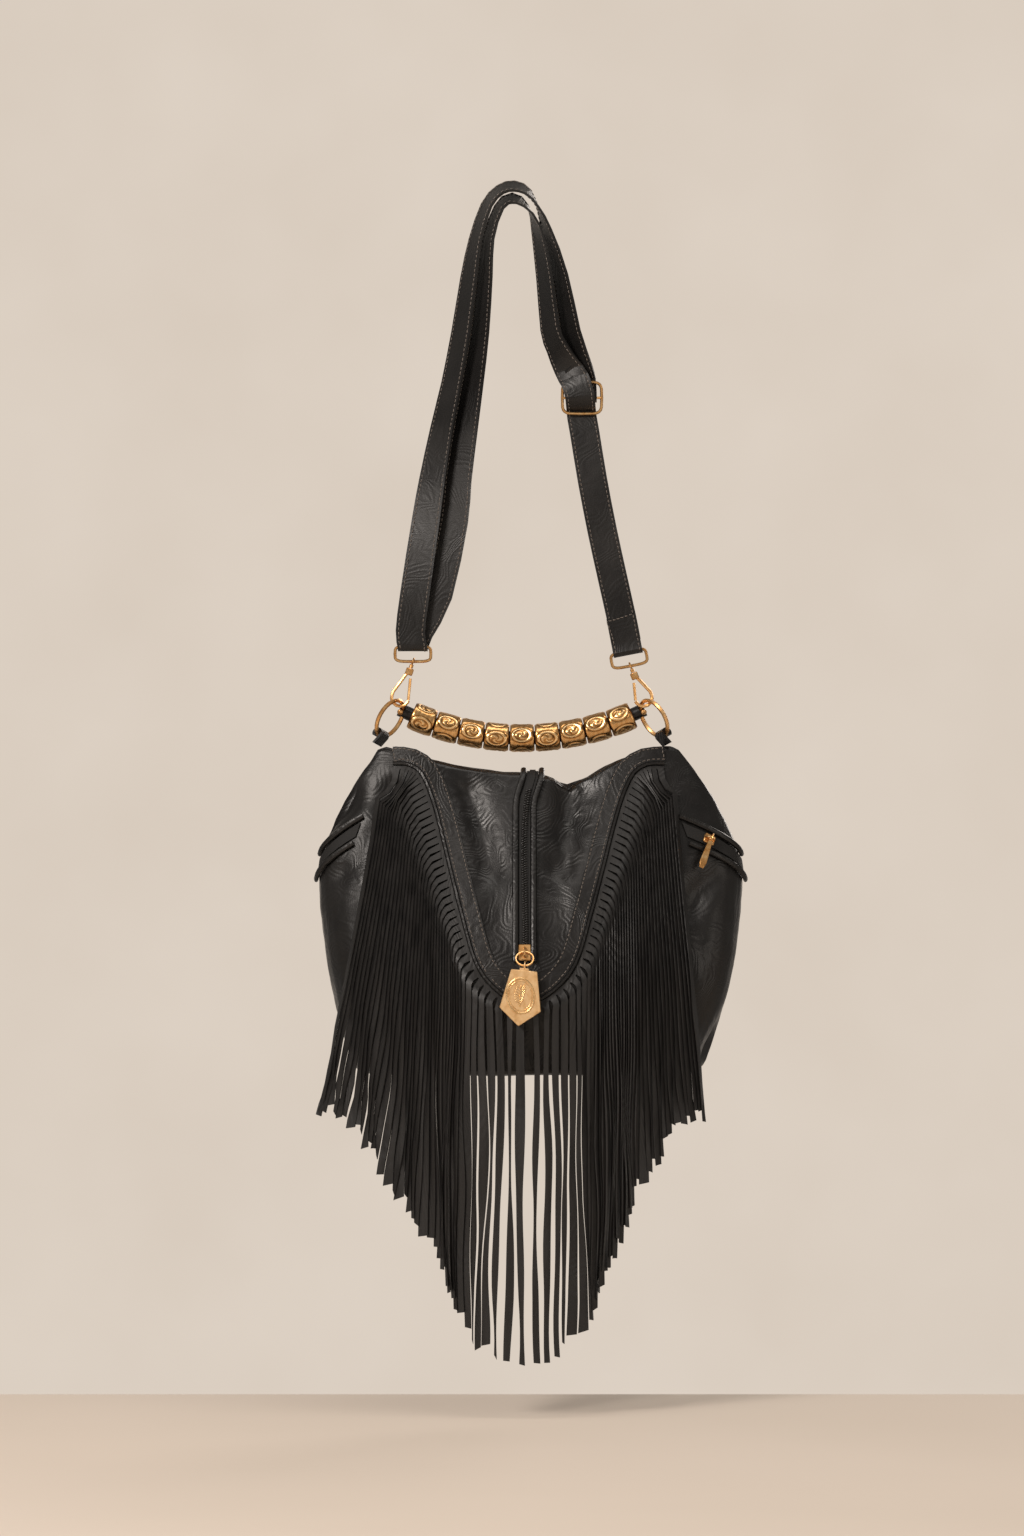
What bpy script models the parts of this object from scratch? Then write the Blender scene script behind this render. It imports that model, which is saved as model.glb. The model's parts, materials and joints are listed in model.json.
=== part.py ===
"""Fringed leather shoulder bag, hanging by its strap.

Metres, +Z up, front of the bag towards -Y. The origin is at the underside of the strap's
top loop, where whatever holds the bag passes through.
"""
import math
import random

import bmesh
import bpy
from mathutils import Matrix, Vector

MM = 0.001
GAP = 0.3 * MM

# Body: a closed, zipped shell. Heights are below the origin.
BAG_X = 10.6 * MM
BAG_SIDE = {1: 1.03, -1: 0.97}
RIDGE_Z = -482 * MM
WIDEST_Z = -578 * MM
BASE_Z = -737.5 * MM
RIDGE_HALF = 126 * MM
WIDEST_HALF = 180 * MM
BASE_HALF = 148 * MM
RIDGE_DEPTH = 9 * MM
BASE_DEPTH = 72 * MM
BELLY_DEPTH = 79 * MM
EDGE_ROUND = 10 * MM
SHOULDER_LIFT = 20 * MM
SHOULDER_X = 112 * MM
NOTCH_X = 42 * MM
NOTCH_DROP = 12 * MM

# Trim band: a U on the front, from one shoulder down and up to the other.
BAND_TOP_Z = -467 * MM
BAND_LOW_Z = -666 * MM
BAND_TOP_HALF = 115 * MM
SKIN_LIFT = 0.8 * MM
BAND_W = 13 * MM
BAND_T = 1.6 * MM
PIPING_D = 3.2 * MM

# Front fringe.
STRIP_COUNT = 80
STRIP_W = 5.2 * MM
STRIP_T = 0.9 * MM
STRIP_LENGTH = 298 * MM
HEADER_W = 2.5 * MM
STRIP_LANE = 2.2 * MM
STRIP_LIFT = 4.7 * MM
TURN_SPAN = 7 * MM
LEVEL_STEP = 36 * MM
LEVEL_CLEAR = 9 * MM
FRINGE_END_RIGHT = 153 * MM
FRINGE_END_LEFT = 174 * MM
FRINGE_END_HALF = {1: FRINGE_END_RIGHT, -1: FRINGE_END_LEFT}
LANE_LEAST = 1.5 * MM
LANE_MOST = 9 * MM
MIDDLE_END = 3 * MM
END_SPREAD_LEAST = 2 * MM

# Main zip.
ZIP_W = 9.5 * MM
ZIP_T = 0.9 * MM
TEETH_W = 5.0 * MM
TEETH_T = 1.1 * MM
ZIP_EDGE_D = 5.2 * MM
ZIP_END_Z = -641 * MM
ZIP_BACK_END_Z = -600 * MM
ZIP_LEAN = 7 * MM
ZIP_LEAN_Z = -512 * MM
SLIDER_W = 10.5 * MM
SLIDER_L = 14 * MM
SLIDER_T = 2.6 * MM
BRIDGE_L = 8 * MM
BRIDGE_H = 4.6 * MM
PULL_RING_D = 16.5 * MM
PULL_WIRE_D = 1.7 * MM
PULL_RING_LEAN = math.radians(40)
PENDANT_W = 35 * MM
PENDANT_TOP_W = 22 * MM
PENDANT_H = 47 * MM
PENDANT_POINT_H = 14 * MM
PENDANT_T = 2.4 * MM
PENDANT_TURN = math.radians(-6)

# Side pockets.
POCKET_END_LEVEL = -541 * MM
POCKET_MID_LEVEL = -566 * MM
POCKET_REACH = {1: math.radians(41), -1: math.radians(33)}
POCKET_LIP_D = 5.0 * MM
POCKET_TAPE_W = 9 * MM
SIDE_SLIDER_W = 8.5 * MM
SIDE_SLIDER_L = 10 * MM
PULL_TAB_L = 27 * MM
PULL_TAB_W = 6.2 * MM
PULL_TAB_T = 1.6 * MM

# Handle and the rings that carry it.
HANDLE_X = 8.5 * MM
HANDLE_HALF = 94.5 * MM
HANDLE_END_Z = -433.3 * MM
HANDLE_SAG = 19.8 * MM
HANDLE_D = 24 * MM
HANDLE_Y = 14 * MM
CORE_D = 11.5 * MM
CORE_OUT = 11 * MM
CORE_EYE_GAP = 0.5 * MM
BEAD_COUNT = 9
BEAD_GAP = 0.9 * MM
BEAD_EDGE = 1.1 * MM
BEAD_CLEAR = 0.8 * MM
RING_D = 34 * MM
RING_WIRE_D = 3.6 * MM
RING_X = 112.2 * MM
RING_Z = -436.5 * MM
RING_LEAN = math.radians(30)
RING_TURN = math.radians(60)
TAB_W = 13 * MM
TAB_T = 2.4 * MM

# Strap and its fittings. The strap's route has a place and a turn about the vertical.
STRAP_W = 25 * MM
STRAP_T = 2.0 * MM
FOLD_GAP = 0.9 * MM
STRAP_TOP_TILT = math.radians(24)
OVAL_W = 30.5 * MM
OVAL_SQUARE = 0.45
OVAL_H = 13 * MM
OVAL_WIRE_D = 2.6 * MM
OVAL_X = {1: 99.5 * MM, -1: -84.2 * MM}
OVAL_Z = {1: -385.5 * MM, -1: -381.6 * MM}
END_TAB_L = 30 * MM
END_TAB_T = 1.5 * MM
BUCKLE_W = 33.5 * MM
BUCKLE_SQUARE = 0.4
BUCKLE_H = 27 * MM
BUCKLE_WIRE_D = 2.6 * MM
BUCKLE_BAR_D = 2.2 * MM
BUCKLE = Vector((59.5 * MM, 0, -164 * MM))
CLASP_W = 17.5 * MM
CLASP_WIRE_D = 2.9 * MM
CLASP_HANG_GAP = 1.3 * MM
NECK_W = 6.5 * MM
NECK_H = 6 * MM
NECK_T = 4.6 * MM
EYE_WIRE_D = 1.7 * MM
POST_D = 3.4 * MM

# Single leg up through the buckle, inner arch, rear layer down to the left ring.
STRAP_INNER = ((97, 0, -371, 0), (93.5, 0, -353, 0), (85, 0, -315, 0), (76.5, 0, -276, 0),
               (68.4, 0, -234, 0), (61.7, 2.2, -193, 0), (59.6, 4.2, -181, 0), (59, 3.4, -175.5, 0),
               (58, -5, -166.5, 0), (57, -6, -160, 2), (53.3, -4.6, -149, 10), (46, -1, -137, 30), (38, 0, -121, 45), (32.3, 0, -105, 53),
               (27.6, 0, -61, 60), (20.8, 0, -20.4, 70), (12, 0, -1, 82), (0, 0, 5.7, 90),
               (-11, 0, -2, 82), (-20.4, 0, -29, 68), (-23.4, 0, -61, 60), (-27.6, 0, -108, 52),
               (-34, 0, -152, 42), (-40, 0, -190, 32), (-46.3, 1.5, -234, 22), (-49.5, 2.5, -268, 14),
               (-63, 3.6, -331, 4), (-79, 3.6, -362, 0))
# Front layer up from the left ring, outer arch, rear layer down to the buckle.
STRAP_OUTER = ((-86.3, -3.0, -362, 0), (-82.5, -3.2, -331, 4), (-73, -2.5, -268, 18),
               (-67.6, -1.5, -234, 28), (-59.5, 0, -190, 40), (-51.4, 0, -152, 48),
               (-43.4, 0, -108, 52), (-36.6, 0, -61, 58), (-31, 0, -29, 66), (-21.5, 0, 0, 78),
               (-10, 0, 13, 86), (2, 0, 16, 90), (13.5, 0, 11, 86), (22.5, 0, -3, 78),
               (29.3, 0, -22, 70), (40.8, 0, -61, 60), (49.3, 0, -108, 48), (56.5, 3, -137, 26),
               (59, 4.2, -149, 8), (59.5, 3.4, -158, 0))


def clear_scene():
    for item in list(bpy.data.objects):
        bpy.data.objects.remove(item, do_unlink=True)


def linear(hex_colour):
    channels = [int(hex_colour[i:i + 2], 16) / 255 for i in (1, 3, 5)]
    return [c / 12.92 if c <= 0.04045 else ((c + 0.055) / 1.055) ** 2.4 for c in channels]


def material(name, hex_colour, roughness, metallic=0.0):
    made = bpy.data.materials.get(name)
    if made is None:
        made = bpy.data.materials.new(name)
        made.use_nodes = True
        shader = made.node_tree.nodes["Principled BSDF"]
        shader.inputs["Base Color"].default_value = (*linear(hex_colour), 1.0)
        shader.inputs["Roughness"].default_value = roughness
        shader.inputs["Metallic"].default_value = metallic
    return made


def leather():
    return material("black_leather", "#1c1a19", 0.5)


def soft_leather():
    return material("strip_leather", "#2a2827", 0.6)


def gold():
    return material("antique_gold", "#c8955a", 0.28, 1.0)


def pale_gold():
    return material("pale_gold", "#e3bd85", 0.3, 1.0)


def zip_cloth():
    return material("zip_black", "#151413", 0.7)


# A named node from a mesh built in world coordinates, with its origin on its joint.
def node(name, shape, looks, origin=(0, 0, 0), sharp_angle=40):
    bmesh.ops.recalc_face_normals(shape, faces=shape.faces)
    bmesh.ops.translate(shape, vec=-Vector(origin), verts=shape.verts)
    mesh = bpy.data.meshes.new(name)
    shape.to_mesh(mesh)
    shape.free()
    mesh.materials.append(looks)
    mesh.shade_smooth()
    mesh.set_sharp_from_angle(angle=math.radians(sharp_angle))
    made = bpy.data.objects.new(name, mesh)
    made.location = origin
    bpy.context.collection.objects.link(made)
    return made


# Skin a row of sections, each a loop of as many points, into one closed body.
def loft(shape, sections, closed=False, ridge=False):
    rows = [[shape.verts.new(p) for p in section] for section in sections]
    pairs = list(zip(rows, rows[1:]))
    if closed:
        pairs.append((rows[-1], rows[0]))
    for low, high in pairs:
        for i in range(len(low)):
            j = (i + 1) % len(low)
            shape.faces.new((low[i], low[j], high[j], high[i]))
    if ridge:
        close_ridge(shape, rows[0])
    elif not closed:
        shape.faces.new(rows[0])
    if not closed:
        shape.faces.new(rows[-1])
    return rows


# Close a long, thin first section from front to back, so that it keeps its sag.
def close_ridge(shape, row):
    count = len(row)
    shape.faces.new((row[0], row[1], row[-1]))
    for i in range(1, count // 2 - 1):
        shape.faces.new((row[i], row[i + 1], row[count - i - 1], row[count - i]))
    middle = count // 2
    shape.faces.new((row[middle - 1], row[middle], row[middle + 1]))


def round_section(centre, across, up, radius_across, radius_up, sides=8):
    angles = [2 * math.pi * i / sides for i in range(sides)]
    return [centre + across * (radius_across * math.cos(a)) + up * (radius_up * math.sin(a))
            for a in angles]


def flat_section(centre, across, up, width, thickness):
    corners = ((-0.5, -0.5), (0.5, -0.5), (0.5, 0.5), (-0.5, 0.5))
    return [centre + across * (width * i) + up * (thickness * j) for i, j in corners]


def directions(points, closed=False):
    last = len(points) - 1
    found = []
    for i in range(len(points)):
        before = points[i - 1] if closed or i else points[0]
        after = points[(i + 1) % len(points)] if closed or i < last else points[last]
        found.append((after - before).normalized())
    return found


# A round wire along points that lie in or near a plane with the given normal.
def wire(shape, points, diameter, normal, closed=False, sides=8):
    sections = []
    for point, along in zip(points, directions(points, closed)):
        across = along.cross(normal).normalized()
        up = across.cross(along).normalized()
        sections.append(round_section(point, across, up, diameter / 2, diameter / 2, sides))
    return loft(shape, sections, closed)


# A smooth curve through chosen points, with even steps between each pair.
def smooth_points(points, steps):
    chosen = [Vector(p) for p in points]
    chosen.insert(0, chosen[0] * 2 - chosen[1])
    chosen.append(chosen[-1] * 2 - chosen[-2])
    out = []
    for a, b, c, d in zip(chosen, chosen[1:], chosen[2:], chosen[3:]):
        for i in range(steps):
            t = i / steps
            out.append(0.5 * ((2 * b) + (c - a) * t + (2 * a - 5 * b + 4 * c - d) * t * t
                              + (3 * b - a - 3 * c + d) * t ** 3))
    out.append(chosen[-2].copy())
    return out


def ease(t):
    t = min(max(t, 0.0), 1.0)
    return t * t * (3 - 2 * t)


def between(low, high, t):
    return low + (high - low) * t


# Half width and half depth of the body, level by level from the ridge to the base.
def body_half(z):
    if z > WIDEST_Z:
        t = (RIDGE_Z - z) / (RIDGE_Z - WIDEST_Z)
        return between(RIDGE_HALF, WIDEST_HALF, math.sin(t * math.pi / 2))
    t = (WIDEST_Z - z) / (WIDEST_Z - BASE_Z)
    return between(WIDEST_HALF, BASE_HALF, t ** 1.9)


def body_depth(z):
    t = (RIDGE_Z - z) / (RIDGE_Z - BASE_Z)
    rise = between(RIDGE_DEPTH, BELLY_DEPTH, math.sin(min(t / 0.78, 1) * math.pi / 2) ** 1.15)
    return rise - (BELLY_DEPTH - BASE_DEPTH) * ease((t - 0.78) / 0.22)


# The ridge sags between the two shoulders, with its lowest notch right of the zip.
def ridge_lift(x, z):
    near = (x - BAG_X) / SHOULDER_X
    rise = SHOULDER_LIFT * min(abs(near), 1.06) ** 1.7
    notch = NOTCH_DROP * math.exp(-(((x - BAG_X - NOTCH_X) / (22 * MM)) ** 2))
    return (rise - notch) * (1 - ease((RIDGE_Z - z) / (110 * MM)))


def body_section(z, inset, count):
    squareness = 2 / between(2.05, 2.9, ease((RIDGE_Z - z) / (RIDGE_Z - BASE_Z)))
    points = []
    for i in range(count):
        angle = 2 * math.pi * i / count
        side = 1 if math.cos(angle) >= 0 else -1
        half = body_half(z) * BAG_SIDE[side] - inset
        x = BAG_X + side * half * abs(math.cos(angle)) ** squareness
        front = -1 if math.sin(angle) >= 0 else 1
        y = front * (body_depth(z) - inset) * abs(math.sin(angle)) ** squareness
        points.append(Vector((x, y, z + ridge_lift(x, z))))
    return points


# The body's front skin as y at a place seen from the front, with a lift off the skin.
def front_y(x, z, lift=0.0):
    level = z
    for _ in range(6):
        level = z - ridge_lift(x, level)
    level = min(max(level, BASE_Z), RIDGE_Z)
    squareness = between(2.05, 2.9, ease((RIDGE_Z - level) / (RIDGE_Z - BASE_Z)))
    side = 1 if x >= BAG_X else -1
    share = min(abs(x - BAG_X) / (body_half(level) * BAG_SIDE[side]), 0.995)
    return -body_depth(level) * (1 - share ** squareness) ** (1 / squareness) - lift


# The same skin, carried straight down below the base.
def skin_y(x, z, lift):
    return front_y(x, max(z, BASE_Z + EDGE_ROUND), lift)


def front_point(x, z, lift=0.0):
    return Vector((x, front_y(x, z, lift), z))


def front_normal(x, z):
    step = 2 * MM
    across = front_point(x + step, z) - front_point(x - step, z)
    up = front_point(x, z + step) - front_point(x, z - step)
    return across.cross(up).normalized()


def body():
    shape = bmesh.new()
    count = 44
    levels = 18
    sections = [body_section(RIDGE_Z, RIDGE_DEPTH * 0.55, count)]
    for i in range(levels + 1):
        z = between(RIDGE_Z - 3 * MM, BASE_Z + EDGE_ROUND, (i / levels) ** 1.25)
        sections.append(body_section(z, 0, count))
    for angle in (30, 60, 90):
        turn = math.radians(angle)
        z = BASE_Z + EDGE_ROUND * (1 - math.sin(turn))
        sections.append(body_section(z, EDGE_ROUND * (1 - math.cos(turn)), count))
    loft(shape, sections, ridge=True)
    return node("bag_body", shape, leather())


# The band's centre line: shares of its half width and height, from the low point up.
BAND_OUTLINE = ((0, 0), (0.13, 0.025), (0.29, 0.13), (0.395, 0.325), (0.49, 0.53), (0.57, 0.71),
                (0.645, 0.85), (0.735, 0.95), (0.86, 0.995), (1.0, 1.0))


def band_line():
    height = BAND_TOP_Z - BAND_LOW_Z
    halves = []
    for side in (-1, 1):
        reach = BAND_TOP_HALF * BAG_SIDE[side] * side
        halves.append([(BAG_X + reach * i, 0, BAND_LOW_Z + height * j) for i, j in BAND_OUTLINE])
    return smooth_points(halves[0][::-1] + halves[1][1:], 12)


def line_length(points):
    return sum((b - a).length for a, b in zip(points, points[1:]))


# Place and direction at a distance along a line of points.
def along_line(points, distance):
    left = max(distance, 0.0)
    for a, b in zip(points, points[1:]):
        step = (b - a).length
        if left <= step:
            return a.lerp(b, left / step), (b - a).normalized()
        left -= step
    return points[-1].copy(), (points[-1] - points[-2]).normalized()


# A place on the body beside the band: how far along it, how far out, how far off the skin.
def beside_band(line, distance, out, lift):
    flat = along_line(line, distance)[0]
    ahead = along_line(line, distance + 4 * MM)[0] - along_line(line, distance - 4 * MM)[0]
    along = ahead.normalized()
    outward = Vector((along.z, 0, -along.x))
    place = flat + outward * out
    skin = front_point(place.x, place.z)
    normal = front_normal(place.x, place.z)
    return skin + normal * lift, normal


# A flat ribbon or a round piping that follows the band.
def band_row(line, steps, inner, outer, lift, thickness):
    total = line_length(line)
    sections = []
    for i in range(steps + 1):
        distance = total * i / steps
        section = []
        for out, rise in ((inner, lift), (outer, lift), (outer, lift + thickness), (inner, lift + thickness)):
            section.append(beside_band(line, distance, out, rise)[0])
        sections.append(section)
    return sections


def trim_band(line):
    shape = bmesh.new()
    loft(shape, band_row(line, 56, -BAND_W / 2, BAND_W / 2, SKIN_LIFT, BAND_T))
    node("trim_band", shape, leather())


def fringe_piping(line):
    shape = bmesh.new()
    total = line_length(line)
    out = BAND_W / 2 + GAP + PIPING_D / 2
    points = []
    for i in range(57):
        points.append(beside_band(line, total * i / 56, out, SKIN_LIFT + PIPING_D / 2)[0])
    wire(shape, points, PIPING_D, Vector((0, -1, 0)), sides=6)
    node("fringe_piping", shape, leather())


# Where each strip hangs, counted from the middle: ordered lanes that never cross.
def strip_lanes(roots):
    hang = []
    for k, root in enumerate(roots):
        x = abs(root.x - BAG_X) + between(LANE_LEAST, LANE_MOST, ease(k / 10))
        if hang:
            x = max(x, hang[-1] + STRIP_LANE)
        hang.append(x)
    return hang


# How far across a falling strip has swung when it is down at height z.
def fall_x(hang, end, z):
    share = min(max((hang.z - z) / (hang.z - end.z), 0), 1)
    return between(hang.x, end.x, share ** 1.15)


# One strip's centre line: out from the band, a turn down, then a fanned fall. Its points lie
# at heights that all strips share, so that neighbours keep their distance.
def strip_path(root, outward, side, hang_x, end_x, length):
    turn = abs(hang_x - abs(root.x - BAG_X)) + TURN_SPAN
    hang = Vector((BAG_X + side * hang_x, 0, root.z - turn * 1.1))
    start = Vector((root.x, 0, root.z))
    corner = start + outward * turn * 0.75
    points = []
    for t in (0, 0.33, 0.67, 1):
        points.append(start * (1 - t) ** 2 + corner * (2 * t * (1 - t)) + hang * t * t)
    drop = length - line_length(points)
    end = Vector((BAG_X + side * end_x, 0, 0))
    end.z = hang.z - math.sqrt(max(drop ** 2 - (end.x - hang.x) ** 2, 1e-6))
    z = LEVEL_STEP * math.floor((hang.z - LEVEL_CLEAR) / LEVEL_STEP)
    while z > end.z + LEVEL_CLEAR:
        points.append(Vector((fall_x(hang, end, z), 0, z)))
        z -= LEVEL_STEP
    points.append(end)
    points[0] = root.copy()
    for i, (before, point) in enumerate(zip(points, points[1:])):
        lift = STRIP_LIFT * ease((i + 1) / 2)
        forward = min(before.y, skin_y(point.x, point.z, lift))
        for share in (0.25, 0.5, 0.75):
            x = between(before.x, point.x, share)
            z = between(before.z, point.z, share)
            forward = min(forward, before.y + (skin_y(x, z, lift * 0.8) - before.y) / share)
        point.y = forward
    return points


def front_fringe(line):
    shape = bmesh.new()
    total = line_length(line)
    pitch = total / STRIP_COUNT
    inner = BAND_W / 2 + 2 * GAP + PIPING_D
    outer = inner + HEADER_W
    low = SKIN_LIFT
    header = []
    for k in range(STRIP_COUNT):
        for edge in (-STRIP_W / 2, STRIP_W / 2):
            distance = pitch * (k + 0.5) + edge
            places = ((inner, low), (inner, low + STRIP_T), (outer, low + STRIP_T), (outer, low))
            header.append([shape.verts.new(beside_band(line, distance, out, rise)[0])
                           for out, rise in places])
    for j, (a, b) in enumerate(zip(header, header[1:])):
        for i in range(4):
            if i == 2 and j % 2 == 0:
                continue
            shape.faces.new((a[i], a[(i + 1) % 4], b[(i + 1) % 4], b[i]))
    shape.faces.new(header[0])
    shape.faces.new(header[-1])
    half = STRIP_COUNT // 2
    for side in (-1, 1):
        strips = [half - 1 - k if side < 0 else half + k for k in range(half)]
        roots = []
        outwards = []
        for number in strips:
            distance = pitch * (number + 0.5)
            root = beside_band(line, distance, outer, low + STRIP_T / 2)[0]
            outward = root - beside_band(line, distance, inner, low + STRIP_T / 2)[0]
            outward.y = 0
            roots.append(root)
            outwards.append(outward.normalized())
        hang = strip_lanes(roots)
        dice = random.Random(11 + side)
        paths = []
        for k in range(half):
            spread = k / (half - 1)
            end_x = max(hang[k] + END_SPREAD_LEAST, between(MIDDLE_END, FRINGE_END_HALF[side], spread ** 0.97))
            length = STRIP_LENGTH * (1 + 0.02 * dice.uniform(-1, 1))
            paths.append(strip_path(roots[k], outwards[k], side, hang[k], end_x, length))
        for k, number in enumerate(strips):
            a = header[2 * number]
            b = header[2 * number + 1]
            first = [a[3], a[2], b[2], b[3]]
            if side > 0:
                first = [b[3], b[2], a[2], a[3]]
            add_strip(shape, first, paths, k)
    node("front_fringe", shape, soft_leather())


# The place on a neighbouring strip beside point number i of this one.
def neighbour_point(path, point, i):
    if i < 4:
        return path[i]
    for other in path[4:]:
        if abs(other.z - point.z) < 0.01 * MM:
            return other
    return Vector((fall_x(path[3], path[-1], point.z), point.y, point.z))


# Skin one strip from the header's face down its path, turned edge forward like a louvre.
def add_strip(shape, first, paths, k):
    path = paths[k]
    along = directions(path)
    below = paths[max(k - 1, 0)]
    above = paths[min(k + 1, len(paths) - 1)]
    last = first
    for i in range(1, len(path)):
        inward = neighbour_point(below, path[i], i) - neighbour_point(above, path[i], i)
        inward -= along[i] * inward.dot(along[i])
        pitch = max(inward.length / (2 if 0 < k < len(paths) - 1 else 1), STRIP_T * 1.6)
        inward.normalize()
        normal = along[i].cross(inward)
        if normal.y > 0:
            normal.negate()
        turn = math.asin(min((STRIP_T + 3 * GAP) / pitch, 0.9)) * ease(i)
        across = inward * math.cos(turn) + normal * math.sin(turn)
        face = along[i].cross(across)
        if face.y > 0:
            face.negate()
        out = -across * (STRIP_W / 2)
        rise = face * (STRIP_T / 2)
        ring = [shape.verts.new(path[i] + p) for p in (out - rise, out + rise, rise - out, -rise - out)]
        for j in range(4):
            shape.faces.new((last[j], last[(j + 1) % 4], ring[(j + 1) % 4], ring[j]))
        last = ring
    shape.faces.new(last)


# The main zip's run: up the front, over the ridge, down the back, with its normals.
def zip_run():
    places = []
    for i in range(17):
        z = between(ZIP_END_Z, RIDGE_Z - 5 * MM, (i / 16) ** 0.9)
        places.append((zip_x(z), z, 1))
    over = [(zip_x(RIDGE_Z), y) for y in (-0.45, 0, 0.45)]
    for i in range(11):
        z = between(RIDGE_Z - 5 * MM, ZIP_BACK_END_Z, i / 10)
        places.append((zip_x(z), z, -1))
    run = []
    for x, z, face in places:
        point = front_point(x, z)
        normal = front_normal(x, z)
        run.append((Vector((x, face * point.y, z)), Vector((normal.x, face * normal.y, normal.z))))
        if z == places[16][1] and face == 1:
            for top_x, share in over:
                top = Vector((top_x, share * RIDGE_DEPTH, RIDGE_Z + ridge_lift(top_x, RIDGE_Z)))
                run.append((top, Vector((0, share, 1)).normalized()))
    return run


def zip_x(z):
    return BAG_X + ZIP_LEAN * ease((z - ZIP_LEAN_Z) / (RIDGE_Z - ZIP_LEAN_Z))


def run_section(point, across, normal, outline):
    return [point + across * i + normal * j for i, j in outline]


def main_zip():
    run = zip_run()
    along = directions([point for point, _ in run])
    tape_top = SKIN_LIFT + ZIP_T
    half = ZIP_W / 2
    tooth = TEETH_W / 2
    outline = ((-half, SKIN_LIFT), (half, SKIN_LIFT), (half, tape_top), (tooth, tape_top),
               (tooth, tape_top + TEETH_T), (-tooth, tape_top + TEETH_T), (-tooth, tape_top),
               (-half, tape_top))
    chain = bmesh.new()
    across = [a.cross(n).normalized() for a, (_, n) in zip(along, run)]
    loft(chain, [run_section(p, c, n, outline) for c, (p, n) in zip(across, run)])
    node("main_zip_chain", chain, zip_cloth(), sharp_angle=25)
    radius = ZIP_EDGE_D / 2
    for name, side in (("zip_edge_left", 1), ("zip_edge_right", -1)):
        shape = bmesh.new()
        offset = side * (half + GAP + radius)
        sections = []
        for c, (p, n) in zip(across, run):
            middle = p + c * offset + n * (SKIN_LIFT + radius * 0.8)
            sections.append(round_section(middle, c, n, radius, radius * 0.8, 8))
        loft(shape, sections)
        node(name, shape, leather())


# Unite solids that overlap into the first one.
def fuse(first, *others):
    for other in others:
        joint = first.modifiers.new("fuse", "BOOLEAN")
        joint.operation = "UNION"
        joint.object = other
    settle(first)
    for other in others:
        bpy.data.objects.remove(other, do_unlink=True)
    return first


def cut(first, *others):
    for other in others:
        joint = first.modifiers.new("cut", "BOOLEAN")
        joint.operation = "DIFFERENCE"
        joint.object = other
    settle(first)
    for other in others:
        bpy.data.objects.remove(other, do_unlink=True)
    return first


def settle(made):
    bpy.context.view_layer.update()
    finished = made.evaluated_get(bpy.context.evaluated_depsgraph_get())
    mesh = bpy.data.meshes.new_from_object(finished)
    made.modifiers.clear()
    made.data = mesh


# A box with its edges broken, set on three directions of its own.
def block(name, centre, right, up, sizes, looks, origin, edge=0.5 * MM):
    shape = bmesh.new()
    bmesh.ops.create_cube(shape, size=1)
    forward = right.cross(up)
    turn = Matrix((right * sizes[0], up * sizes[1], forward * sizes[2])).transposed()
    bmesh.ops.transform(shape, matrix=Matrix.Translation(centre) @ turn.to_4x4(), verts=shape.verts)
    if edge:
        bmesh.ops.bevel(shape, geom=shape.edges, offset=edge, segments=1, affect="EDGES")
    return node(name, shape, looks, origin, 30)


# A round, or with a power under 1 a squarer, loop of points.
def oval_points(centre, right, up, width, height, steps, power=1.0):
    points = []
    for i in range(steps):
        angle = 2 * math.pi * i / steps
        x = math.copysign(abs(math.cos(angle)) ** power, math.cos(angle)) * width / 2
        y = math.copysign(abs(math.sin(angle)) ** power, math.sin(angle)) * height / 2
        points.append(centre + right * x + up * y)
    return points


def closed_ring(name, centre, right, up, size, wire_d, looks, origin, steps=24, power=1.0):
    shape = bmesh.new()
    points = oval_points(centre, right, up, size[0], size[1], steps, power)
    wire(shape, points, wire_d, right.cross(up), closed=True, sides=6)
    return node(name, shape, looks, origin, 60)


def flat_plate(name, outline, centre, right, up, thickness, looks, origin, edge=0.4 * MM):
    shape = bmesh.new()
    forward = right.cross(up)
    base = [shape.verts.new(centre + right * x + up * y - forward * thickness / 2) for x, y in outline]
    face = shape.faces.new(base)
    grown = bmesh.ops.extrude_face_region(shape, geom=[face])
    top = [item for item in grown["geom"] if isinstance(item, bmesh.types.BMVert)]
    bmesh.ops.translate(shape, vec=forward * thickness, verts=top)
    bmesh.ops.bevel(shape, geom=shape.edges, offset=edge, segments=1, affect="EDGES")
    return node(name, shape, looks, origin, 30)


# A slider with its bridge, the wire arch that the pull hangs from.
def slider_with_bridge(name, place, normal, along, width, length, looks):
    right = along.cross(normal).normalized()
    middle = place + normal * SLIDER_T / 2
    made = block(name, middle, right, along, (width, length, SLIDER_T), looks, place, 0.8 * MM)
    arch = []
    for angle in range(-20, 201, 22):
        turn = math.radians(angle)
        arch.append(place + normal * (SLIDER_T + math.sin(turn) * BRIDGE_H)
                    + along * math.cos(turn) * BRIDGE_L / 2)
    shape = bmesh.new()
    wire(shape, arch, 1.8 * MM, right, sides=6)
    return fuse(made, node(name + "_bridge", shape, looks, place))


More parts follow.
